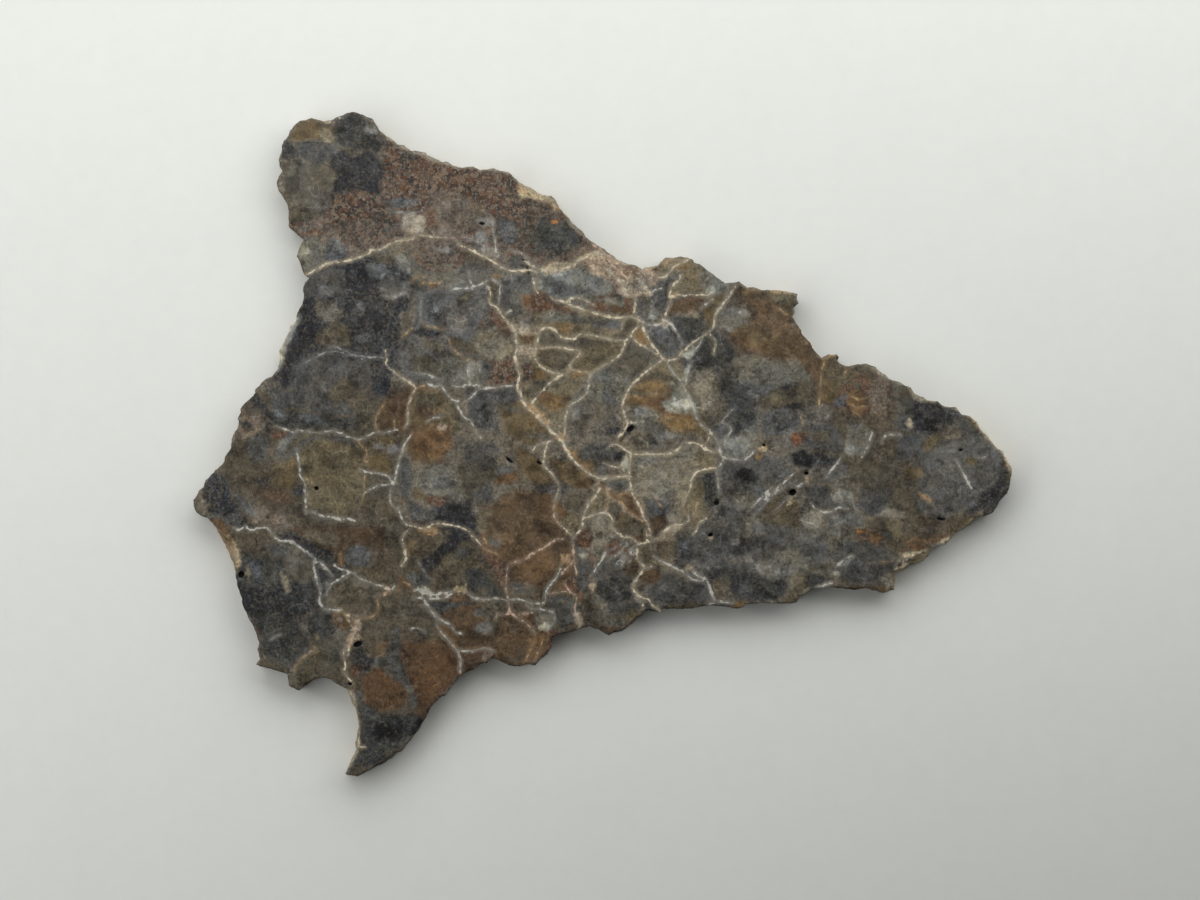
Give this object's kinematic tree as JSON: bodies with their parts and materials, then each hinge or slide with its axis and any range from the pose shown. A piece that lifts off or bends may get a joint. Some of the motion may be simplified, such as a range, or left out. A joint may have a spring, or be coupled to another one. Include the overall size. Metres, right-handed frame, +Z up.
{
  "type": "lunar meteorite slice",
  "caption": "Thin sawn slice of veined lunar breccia with a ragged broken rim, lying flat on its back face.",
  "frame": {"origin": "under the middle of the slice's bounding box, on the back face that it rests on", "axes": "+X along the longest side, towards the blunt slate-grey tip; +Z up, out of the upper sawn face"},
  "size_m": [0.06, 0.0488, 0.002],
  "materials": {
    "breccia": "sawn, with a dull sheen on both faces and a rough broken rim"
  },
  "bodies": {
    "root": {"meteorite_slice": "breccia"}
  },
  "joints": []
}
